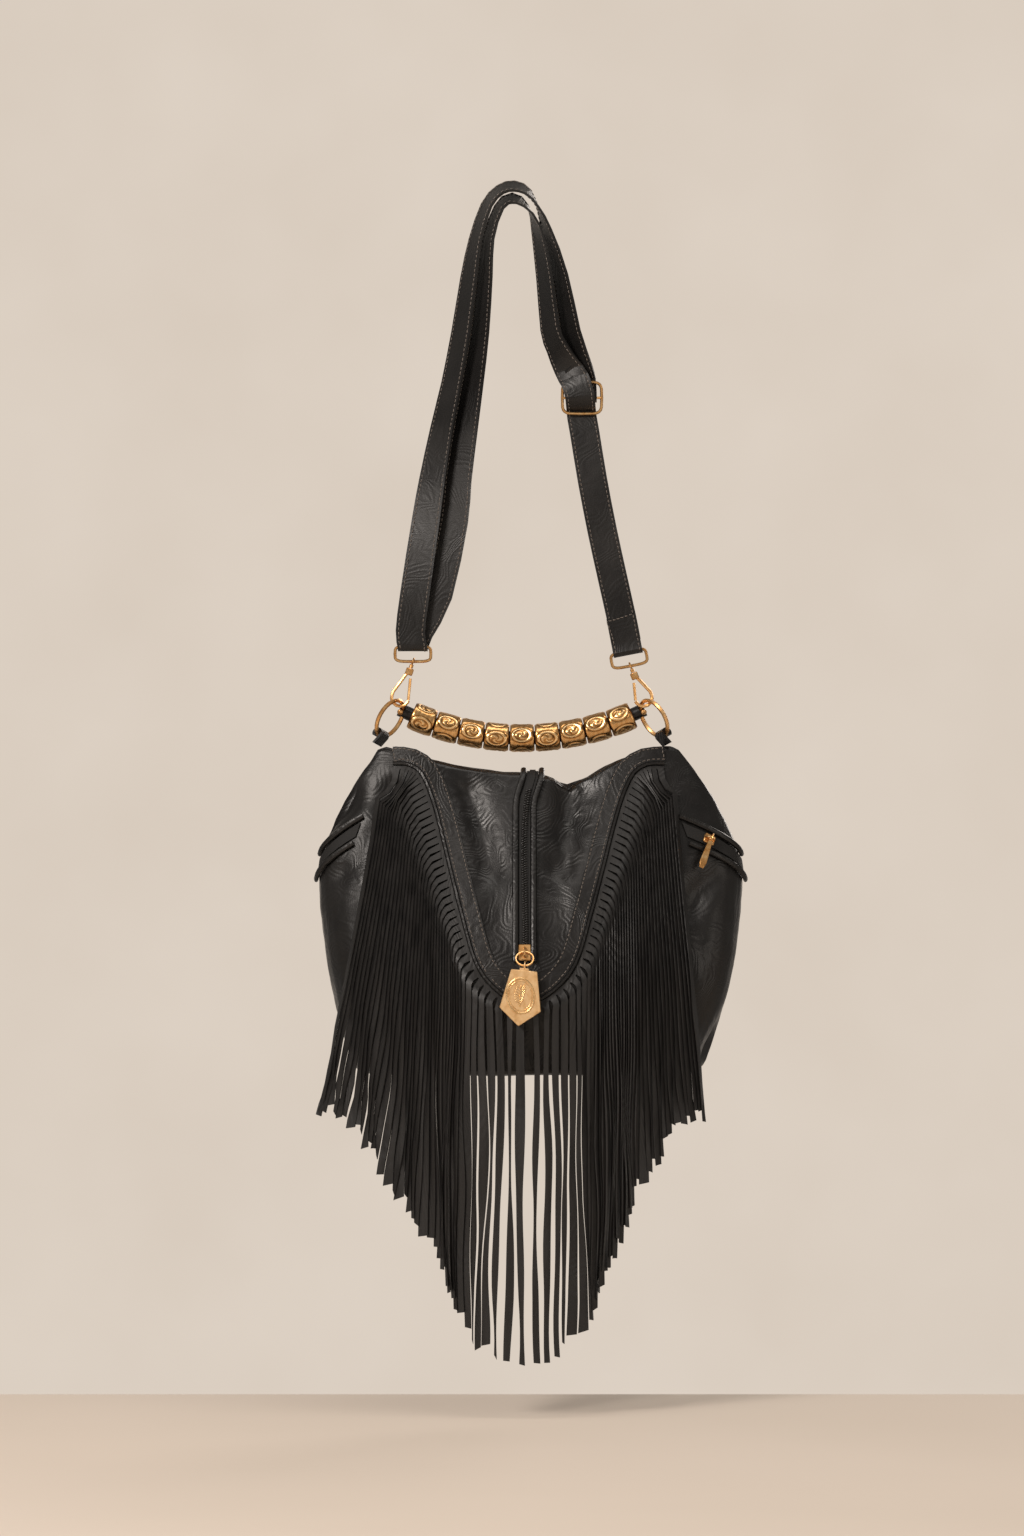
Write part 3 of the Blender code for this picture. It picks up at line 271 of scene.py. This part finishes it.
backdrop = plane("backdrop", [(x * BACKDROP_HALF, BACKDROP_Y, z) for x, z in (
    (-1, BACKDROP_LOW), (1, BACKDROP_LOW), (1, BACKDROP_TOP), (-1, BACKDROP_TOP))], "#d6c9bb", "#ddd1c4", 1.0)
paint = backdrop.data.materials[0].node_tree.nodes["Principled BSDF"]
paint.inputs["Base Color"].default_value = (0, 0, 0, 1)
floor = plane("floor", [(x * FLOOR_HALF, y, FLOOR_Z) for x, y in (
    (-1, FLOOR_FRONT), (1, FLOOR_FRONT), (1, FLOOR_BACK), (-1, FLOOR_BACK))], "#d6c9bb", "#dccfc2", 0.0)


LAMP_AIM = Vector((0, 0, -0.5))


# A soft lamp that the camera itself doesn't see.
def softbox(name, place, size, power, colour):
    data = bpy.data.lights.new(name, "AREA")
    data.shape = "RECTANGLE"
    data.size, data.size_y = size
    data.energy = power
    data.color = linear(colour)[:3]
    made = bpy.data.objects.new(name, data)
    SCENE.collection.objects.link(made)
    made.visible_camera = False
    made.location = place
    made.rotation_euler = (LAMP_AIM - Vector(place)).to_track_quat("-Z", "Y").to_euler()


softbox("key", (-1.5, -2.3, 0.9), (0.8, 0.8), 70, "#fff6ee")
softbox("fill", (2.2, -2.6, -0.3), (1.2, 1.8), 12, "#fff4e8")
softbox("top", (0.2, -0.7, 1.5), (1.6, 0.6), 12, "#fff8f0")
softbox("back", (1.6, 2.6, 0.5), (1.4, 1.4), 26, "#fff6ee")
world = bpy.data.worlds.new("world")
SCENE.world = world
world.use_nodes = True
surround = world.node_tree.nodes["Background"]
surround.inputs["Color"].default_value = linear("#efe6dc")
surround.inputs["Strength"].default_value = 0.32


# %% [markdown]
# A CAD node comes in as loose triangles. A finished piece starts as a copy of it: welded,
# its triangles joined in pairs and its curved skin shaded smooth between the sharp corners.

# %% Pieces from CAD nodes
SHARP, SHARP_SOFT, SHARP_RELIEF = math.radians(38), math.radians(50), math.radians(60)
WELD = 0.002 * MM


def welded(name):
    shape = bmesh.new()
    shape.from_mesh(NODES[name].data)
    bmesh.ops.remove_doubles(shape, verts=shape.verts, dist=WELD)
    bmesh.ops.dissolve_degenerate(shape, edges=shape.edges, dist=WELD)
    shape.normal_update()
    return shape


def join_pairs(shape, flat, square):
    bmesh.ops.join_triangles(shape, faces=shape.faces, angle_face_threshold=math.radians(flat),
                             angle_shape_threshold=math.radians(square))


# Turns a shape into a shown piece that rides a body and stands in for the replaced nodes.
def finish_piece(shape, name, material, body, replaced=(), sharp=SHARP):
    for face in shape.faces:
        face.smooth = True
    for edge in shape.edges:
        edge.smooth = len(edge.link_faces) == 2 and edge.calc_face_angle(0) < sharp
    mesh = bpy.data.meshes.new(name)
    shape.to_mesh(mesh)
    shape.free()
    made = bpy.data.objects.new(name, mesh)
    SCENE.collection.objects.link(made)
    mesh.materials.append(material)
    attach(made, body)
    if replaced:
        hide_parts(*replaced)


def copy_piece(node, material):
    shape = welded(node)
    join_pairs(shape, 12, 50)
    finish_piece(shape, node + "_skin", material, BODY_OF[node], (node,))


# %% [markdown]
# The body sags: shallow folds and dimples are pressed into its skin, away from the pieces
# sewn on it, which stay where the CAD has them.

# %% Body
LEATHER_TRIM = ("trim_band", "left_ring_tab", "right_ring_tab", "left_pocket_upper_lip",
                "left_pocket_lower_lip", "right_pocket_upper_lip", "right_pocket_lower_lip",
                "zip_edge_left", "zip_edge_right", "fringe_piping")
ZIPS = ("main_zip_chain", "left_pocket_zip", "right_pocket_zip")
CLEAR_NEAR, CLEAR_FAR = 5 * MM, 15 * MM
attached_points = [v.co.copy() for n in LEATHER_TRIM + ZIPS for v in NODES[n].data.vertices]
near_tree = KDTree(len(attached_points))
for number, point in enumerate(attached_points):
    near_tree.insert(point, number)
near_tree.balance()

# Each fold: start and end in the front view (x, z in mm), half width, depth in mm.
FOLDS = (
    (-40, -500, -20, -560, 11, 3.2),
    (-60, -520, -38, -600, 8, 2.6),
    (-24, -575, -8, -640, 7, 2.0),
    (48, -497, 44, -560, 9, 3.0),
    (38, -560, 30, -630, 8, 1.8),
    (72, -500, 60, -540, 7, 1.6),
    (-48, -590, -34, -560, 6, -0.5),
    (152, -585, 168, -722, 14, 2.8),
    (178, -560, 150, -600, 9, 1.6),
    (128, -560, 140, -690, 12, 1.8),
    (-140, -500, -150, -560, 12, 2.2),
    (-100, -492, -128, -540, 10, 1.6),
    (-20, -690, 40, -725, 12, 1.6),
    (90, -700, 130, -730, 12, 1.8),
)
FOLD_GAIN = 2.5
RIPPLE, BACK_SAG, BULGE_MOST = 0.9 * MM, 1.6 * MM, 0.4 * MM


def fold_depth(x, z):
    depth = 0.0
    for ax, az, bx, bz, half, deep in FOLDS:
        a, b, p = Vector((ax, az)), Vector((bx, bz)), Vector((x, z)) / MM
        share = min(max((p - a).dot(b - a) / (b - a).length_squared, 0), 1)
        gap = (p - a.lerp(b, share)).length
        depth += FOLD_GAIN * deep * math.exp(-(gap / half) ** 2)
    return depth * MM


body_shape = welded("bag_body")
join_pairs(body_shape, 25, 50)
long_edges = [e for e in body_shape.edges if e.calc_length() > 5 * MM]
bmesh.ops.subdivide_edges(body_shape, edges=long_edges, cuts=2, use_grid_fill=True, smooth=0.0)
body_shape.normal_update()
moved = []
for v in body_shape.verts:
    gap = near_tree.find(v.co)[2]
    free = min(max((gap - CLEAR_NEAR) / (CLEAR_FAR - CLEAR_NEAR), 0), 1)
    ripple = (noise.noise(v.co * 34) + 0.5 * noise.noise(v.co * 80) + 0.75) * RIPPLE
    sag = fold_depth(v.co.x, v.co.z) if v.co.y < 0 else BACK_SAG * (noise.noise(v.co * 14) + 0.5)
    moved.append(v.co - v.normal * max(sag + ripple, -BULGE_MOST) * free)
for v, place in zip(body_shape.verts, moved):
    v.co = place
print("body points:", len(body_shape.verts))
finish_piece(body_shape, "bag_body_skin", BLACK, "bag", ("bag_body",), SHARP_SOFT)

# %% [markdown]
# The other leather and metal pieces keep the CAD form and get their own material.

# %% Leather and metal pieces
for node in LEATHER_TRIM + ("handle_core",):
    copy_piece(node, BLACK)
for node in ("shoulder_strap", "strap_end_tab"):
    copy_piece(node, STRAP_SKIN)
for node in ZIPS:
    copy_piece(node, TAPE)
for node, slot in SLOT_OF.items():
    if slot == "antique_gold" and not node.startswith("handle_bead"):
        copy_piece(node, GOLD)
copy_piece("pull_pendant", PALE)

# %% [markdown]
# The fringe hangs loose: below the band its strips sway a few millimetres, each a bit
# differently from the next, more the further down.

# %% Fringe
SWAY, SWAY_TOP, SWAY_FULL = 6.5 * MM, -590 * MM, -860 * MM


def sway(place):
    share = min(max((SWAY_TOP - place.z) / (SWAY_TOP - SWAY_FULL), 0), 1)
    wide = noise.noise(Vector((place.x * 70, place.z * 6, 3)))
    fine = noise.noise(Vector((place.x * 240, place.z * 12, 8)))
    deep = noise.noise(Vector((place.x * 110, place.z * 8, 21)))
    reach = SWAY * share * share * (3 - 2 * share)
    return Vector((reach * (wide + 0.5 * fine), -reach * abs(0.9 * deep), 0.6 * reach * fine))


strips = welded("front_fringe")
join_pairs(strips, 30, 60)
long_edges = [e for e in strips.edges if e.calc_length() > 14 * MM]
bmesh.ops.subdivide_edges(strips, edges=long_edges, cuts=2)
for v in strips.verts:
    v.co += sway(v.co)
finish_piece(strips, "front_fringe_skin", STRIPS, "bag", ("front_fringe",))

# %% [markdown]
# The small pieces below are drawn as rings of points, with a skin from each ring to the next.
# A loop of rings closes on itself; any other row of rings gets a cap at each end.

# %% Skin a row of rings
def skin(shape, rings, loop=False):
    sides = len(rings[0])
    pairs = list(zip(rings, rings[1:]))
    if loop:
        pairs.append((rings[-1], rings[0]))
    else:
        shape.faces.new(rings[0][::-1])
        shape.faces.new(rings[-1])
    for a, b in pairs:
        for j in range(sides):
            k = (j + 1) % sides
            shape.faces.new((a[j], a[k], b[k], b[j]))


# Angles for the points of a ring, turning the way that makes the skin face out.
def ring_turns(count):
    return [-2 * math.pi * j / count for j in range(count)]


# %% [markdown]
# The handle's sleeves: nine tubes on one arc, each with raised ovals, scrolls inside them
# and a groove at each end, as cast metal has.

# %% Handle sleeves
HANDLE_X, HANDLE_Y, HANDLE_END_Z = 8.5 * MM, 14 * MM, -433.3 * MM
HANDLE_HALF, HANDLE_SAG = 94.5 * MM, 19.8 * MM
HANDLE_R = (HANDLE_HALF ** 2 + HANDLE_SAG ** 2) / (2 * HANDLE_SAG)
ARC_CENTRE = Vector((HANDLE_X, HANDLE_Y, HANDLE_END_Z - HANDLE_SAG + HANDLE_R))
SLEEVE_R, SLEEVE_SHOULDER_R, SLEEVE_BORE_R = 11.45 * MM, 10.2 * MM, 6.9 * MM
RELIEF_H, END_DROP = 0.6 * MM, 0.9 * MM
# The ends drop from a share of the full height; the plain end faces get one even tone of painted shade.
EDGE_START, EDGE_RISE, END_PAINTED_SHADE = 0.25, 9, 0.35
ALONG, AROUND, PANELS = 44, 132, 4
SLEEVES = 9
# How far round each sleeve's ovals are turned, as a share of one panel.
OVAL_SHIFT = (0.25, 0.8, 0.62, 0.4, 0.65, 0.42, 0.66, 0.74, 0.85)


# Height of the relief, 0 to 1, at a share u along the sleeve and v around it.
def cartouche(u, v, row):
    b = (v * PANELS + OVAL_SHIFT[row - 1]) % 1 * 2 - 1
    a = u * 2 - 1
    spread = math.hypot(a / 0.74, b / 0.62)
    turn = math.atan2(b, a)
    ring = math.exp(-((spread - 1) / 0.1) ** 2)
    moat = math.exp(-((spread - 1.24) / 0.1) ** 2) + math.exp(-((spread - 0.78) / 0.09) ** 2)
    scroll = 0.28 * math.sin(3 * turn + 9 * spread + row) * (spread < 0.7)
    ground = 0.06 * math.sin(15 * a + 3 * b + row) * (spread > 1.3)
    groove = 0.5 * max(0.0, (abs(a) - 0.93) / 0.07)
    return min(max(0.5 + 0.5 * ring - 0.38 * moat + scroll + ground - groove, 0.0), 1.0)


def handle_point(angle, turn, radius):
    across = Vector((math.sin(angle), 0, -math.cos(angle)))
    centre = ARC_CENTRE + across * HANDLE_R
    return centre + (across * math.cos(turn) + Vector((0, 1, 0)) * math.sin(turn)) * radius


def sleeve(number):
    node = f"handle_bead_{number}"
    points = [v.co - ARC_CENTRE for v in NODES[node].data.vertices]
    angles = [math.atan2(p.x, -p.z) for p in points]
    low, high = min(angles), max(angles)
    shape = bmesh.new()
    # Each point keeps its relief height, which the gold reads as painted shade in hollows and painted
    # highlight on tops.
    painted_relief_shading = shape.verts.layers.float.new("painted_relief_shading")
    lanes = [(low, SLEEVE_BORE_R, None), (low, SLEEVE_SHOULDER_R, None)]
    for i in range(ALONG + 1):
        lanes.append((low + (high - low) * i / ALONG, SLEEVE_R, i / ALONG))
    lanes += [(high, SLEEVE_SHOULDER_R, None), (high, SLEEVE_BORE_R, None)]
    rings = []
    for angle, radius, u in lanes:
        ring = []
        for j in range(AROUND):
            height, grown = END_PAINTED_SHADE, radius
            if u is not None:
                height = cartouche(u, j / AROUND, number)
                edge = min(1.0, min(u, 1 - u) * EDGE_RISE + EDGE_START)
                grown += RELIEF_H * height - (1 - edge) * END_DROP
            made = shape.verts.new(handle_point(angle, 2 * math.pi * j / AROUND, grown))
            made[painted_relief_shading] = height
            ring.append(made)
        rings.append(ring)
    skin(shape, rings, loop=True)
    bmesh.ops.recalc_face_normals(shape, faces=shape.faces)
    finish_piece(shape, f"sleeve_{number}", RELIEF, "handle", (node,), SHARP_RELIEF)


for number in range(1, SLEEVES + 1):
    sleeve(number)

# %% [markdown]
# Stitches: one small waxed thread bead for each, set along a cut edge of a strip of leather.

# %% Stitches
STITCH_PITCH, STITCH_L, STITCH_R, STITCH_RISE = 4.0 * MM, 2.8 * MM, 0.48 * MM, 0.1 * MM
# Each ring of a bead: its place along the bead and its size, as shares of length and radius.
BEAD_RINGS = ((-0.5, 0.35), (-0.32, 1), (0.32, 1), (0.5, 0.35))


# A small six-sided bead lying along a direction, with its top up.
def add_bead(shape, place, along, up, length, radius):
    side = along.cross(up).normalized()
    rings = []
    for share, size in BEAD_RINGS:
        middle = place + along * (length * share)
        spokes = [side * math.cos(t) + up * math.sin(t) for t in ring_turns(6)]
        rings.append([shape.verts.new(middle + spoke * radius * size) for spoke in spokes])
    skin(shape, rings)


# The cut edges of a flat strip that border a face wider than a given width.
def cut_edges(shape, width):
    chosen = {}
    for edge in shape.edges:
        if len(edge.link_faces) != 2 or edge.calc_face_angle(0) < math.radians(50):
            continue
        for face in edge.link_faces:
            tip = next(v for v in face.verts if v not in edge.verts)
            a, b = edge.verts
            along = (b.co - a.co).normalized()
            inward = tip.co - a.co - along * (tip.co - a.co).dot(along)
            if inward.length > width and edge.calc_length() < 60 * MM:
                chosen[edge] = (inward.normalized(), face.normal.copy())
    return chosen


# Takes the edge that goes on from a chain's end, on the same face of the strip.
def next_edge(vert, edge, chosen, left):
    for other in vert.link_edges:
        if other in left and chosen[other][1].dot(chosen[edge][1]) > 0.5:
            del left[other]
            return other
    return None


# Those edges as lines of (place, direction in, face normal), in the mesh's own order.
def edge_lines(node, width):
    shape = welded(node)
    chosen = cut_edges(shape, width)
    left = dict.fromkeys(chosen)
    lines = []
    while left:
        first = next(iter(left))
        del left[first]
        chain = [(first.verts[0], first), (first.verts[1], first)]
        while (edge := next_edge(*chain[0], chosen, left)) is not None:
            chain.insert(0, (edge.other_vert(chain[0][0]), edge))
        while (edge := next_edge(*chain[-1], chosen, left)) is not None:
            chain.append((edge.other_vert(chain[-1][0]), edge))
        lines.append([(v.co.copy(), *chosen[e]) for v, e in chain])
    shape.free()
    return lines


def stitch_edges(name, node, width, inset, least=20 * MM):
    shape = bmesh.new()
    count = 0
    for line in edge_lines(node, width):
        total = sum((b[0] - a[0]).length for a, b in zip(line, line[1:]))
        if total < least:
            continue
        travelled, next_at = 0.0, STITCH_PITCH
        for (a, inward_a, up_a), (b, inward_b, up_b) in zip(line, line[1:]):
            step = (b - a).length
            while step > 0 and next_at <= travelled + step and next_at < total - STITCH_PITCH:
                share = (next_at - travelled) / step
                inward = inward_a.lerp(inward_b, share).normalized()
                up = up_a.lerp(up_b, share).normalized()
                place = a.lerp(b, share) + inward * inset + up * STITCH_RISE
                add_bead(shape, place, (b - a).normalized(), up, STITCH_L, STITCH_R)
                count += 1
                next_at += STITCH_PITCH
            travelled += step
    print(name, count, "stitches")
    finish_piece(shape, name, THREAD, BODY_OF[node])


stitch_edges("strap_stitches", "shoulder_strap", 12 * MM, 2.4 * MM)
stitch_edges("band_stitches", "trim_band", 6 * MM, 1.7 * MM)
stitch_edges("end_tab_stitches", "strap_end_tab", 8 * MM, 2.2 * MM, 12 * MM)

# %% [markdown]
# The zip: rows of small moulded teeth on the chain, and a row of stitches down each side,
# through the body's skin. Both are set on the surface that is met looking in from the front.

# %% Zip teeth and stitches
TOOTH_PITCH, TOOTH_L, TOOTH_R, TOOTH_RISE, TOOTH_ASIDE = 2.0 * MM, 2.8 * MM, 0.75 * MM, 0.3 * MM, 1.1 * MM
ZIP_TOP_Z, TEETH_LOW_Z, ZIP_LOW_Z, ROW_LOW_Z = -497 * MM, -632 * MM, -640 * MM, -655 * MM
ROW_ASIDE = 4.4 * MM
LOOK_FROM_Y, LOOK_IN = -0.3, Vector((0, 1, 0))


def skin_tree(node):
    shape = welded(node)
    made = BVHTree.FromBMesh(shape)
    shape.free()
    return made


# The surface's place and normal behind a point of the front view.
def seat(tree, x, z):
    return tree.ray_cast(Vector((x, LOOK_FROM_Y, z)), LOOK_IN)[:2]


# The middle line of a node's front half, as x by height.
def middle_line(node):
    points = np.array([v.co for v in NODES[node].data.vertices])
    front = points[points[:, 1] < 0]
    return np.polyfit(front[:, 2], front[:, 0], 3)


def front_teeth():
    line = middle_line("main_zip_chain")
    tree = skin_tree("main_zip_chain")
    shape = bmesh.new()
    z, side = ZIP_TOP_Z, 1
    while z > TEETH_LOW_Z:
        place, up = seat(tree, float(np.polyval(line, z)), z)
        if place is not None:
            place = place + up * TOOTH_RISE + Vector((side * TOOTH_ASIDE, 0, 0))
            add_bead(shape, place, Vector((1, 0, 0)), up, TOOTH_L, TOOTH_R)
        z -= TOOTH_PITCH / 2
        side = -side
    finish_piece(shape, "main_zip_teeth", TEETH, BODY_OF["main_zip_chain"])


def zip_row(name, node, offset):
    line = middle_line(node)
    tree = skin_tree("bag_body")
    shape = bmesh.new()
    z = ZIP_TOP_Z
    while z > ROW_LOW_Z:
        x = float(np.polyval(line, max(z, ZIP_LOW_Z))) + offset
        place, up = seat(tree, x, z)
        lower = seat(tree, x, z - STITCH_PITCH / 2)[0]
        add_bead(shape, place + up * STITCH_RISE, (lower - place).normalized(), up, STITCH_L, STITCH_R)
        z -= STITCH_PITCH
    finish_piece(shape, name, THREAD, "bag")


front_teeth()
zip_row("left_zip_stitches", "zip_edge_left", -ROW_ASIDE)
zip_row("right_zip_stitches", "zip_edge_right", ROW_ASIDE)

# %% [markdown]
# Raised work on the pendant: an oval frame with a plain leaf in it. The plate's thinnest way
# is its face; its length is upright in that face, but for the pendant's own small turn.

# %% Pendant relief
PENDANT_TURN = math.radians(-6)
OVAL_A, OVAL_B, OVAL_LOW = 11.4, 14.6, -2.0
OVAL_LINES = ((1.0, 0.85), (0.84, 0.4))
STEM_R, VEIN_R, LEAF_BEND = 0.6, 0.45, 1.4
PLATE_RISE, LOOK_BACK = 0.12 * MM, 20 * MM


# A round line along points, eight sided, with its top up.
def tube(shape, points, radius, up, closed=False):
    rings = []
    count = len(points)
    for i, point in enumerate(points):
        before = points[i - 1] if closed or i else points[0]
        after = points[(i + 1) % count] if closed or i < count - 1 else points[-1]
        side = (after - before).normalized().cross(up).normalized()
        spokes = [side * math.cos(t) + up * math.sin(t) for t in ring_turns(8)]
        rings.append([shape.verts.new(point + spoke * radius) for spoke in spokes])
    skin(shape, rings, closed)


def plate_axes(node):
    points = np.array([v.co for v in NODES[node].data.vertices])
    thin = np.linalg.eigh(np.cov((points - points.mean(axis=0)).T))[1][:, 0]
    face = Vector(thin) if thin[1] < 0 else -Vector(thin)
    upright = (Vector((0, 0, 1)) - face * face.z).normalized()
    length = Matrix.Rotation(-PENDANT_TURN, 3, face) @ upright
    middle = Vector((points.min(axis=0) + points.max(axis=0)) / 2)
    return middle, face, length.cross(face), length


centre, face, across, length = plate_axes("pull_pendant")
plate = skin_tree("pull_pendant")


# A place on the plate, from millimetres across and up it.
def on_plate(a, b):
    start = centre + across * (a * MM) + length * (b * MM) + face * LOOK_BACK
    return plate.ray_cast(start, -face)[0] + face * PLATE_RISE


def stem_point(b):
    return on_plate(LEAF_BEND * math.sin(b / 5), b + OVAL_LOW)


def vein_point(b, side, share):
    reach = side * (4.6 - 0.035 * b * b)
    return on_plate(reach * share + LEAF_BEND * math.sin(b / 5), b + OVAL_LOW + 3.4 * share ** 1.4)


relief = bmesh.new()
for scale, radius in OVAL_LINES:
    turns = [math.pi * i / 24 for i in range(48)]
    oval = [on_plate(OVAL_A * scale * math.cos(t), OVAL_B * scale * math.sin(t) + OVAL_LOW) for t in turns]
    tube(relief, oval, radius * MM, face, True)
tube(relief, [stem_point(b) for b in np.linspace(-9, 9, 16)], STEM_R * MM, face)
for b in np.linspace(-6.5, 5.5, 7):
    for side in (-1, 1):
        vein = [vein_point(b, side, share) for share in (0.05, 0.3, 0.55, 0.8, 1.0)]
        tube(relief, vein, VEIN_R * MM, face)
finish_piece(relief, "pendant_relief", PALE_LINE, BODY_OF["pull_pendant"])

# %% [markdown]
# A small domed rivet closes the leather core at each end of the handle.

# %% Rivets
RIVET_R, RIVET_H, RIVET_IN, RIVET_NEAR = 2.6 * MM, 1.5 * MM, 3.2 * MM, 4 * MM
RIVET_RINGS = ((0.2, 1.0), (0.55, 0.9), (0.86, 0.62), (1.0, 0.25), (1.0, -0.3))


def rivet(name, node, side):
    points = [v.co for v in NODES[node].data.vertices]
    end_x = max(side * p.x for p in points) * side - side * RIVET_IN
    near = [p for p in points if abs(p.x - end_x) < RIVET_NEAR]
    middle = sum(near, Vector()) / len(near)
    place, up = seat(skin_tree(node), end_x, middle.z)
    turn = up.to_track_quat("Z", "Y").to_matrix()
    shape = bmesh.new()
    rings = []
    for r, h in RIVET_RINGS:
        wide, high = RIVET_R * r, RIVET_H * h
        local = [Vector((wide * math.cos(t), wide * math.sin(t), high)) for t in ring_turns(20)]
        rings.append([shape.verts.new(place + turn @ p) for p in local])
    skin(shape, rings)
    finish_piece(shape, name, GOLD, "handle")


rivet("left_rivet", "handle_core", -1)
rivet("right_rivet", "handle_core", 1)
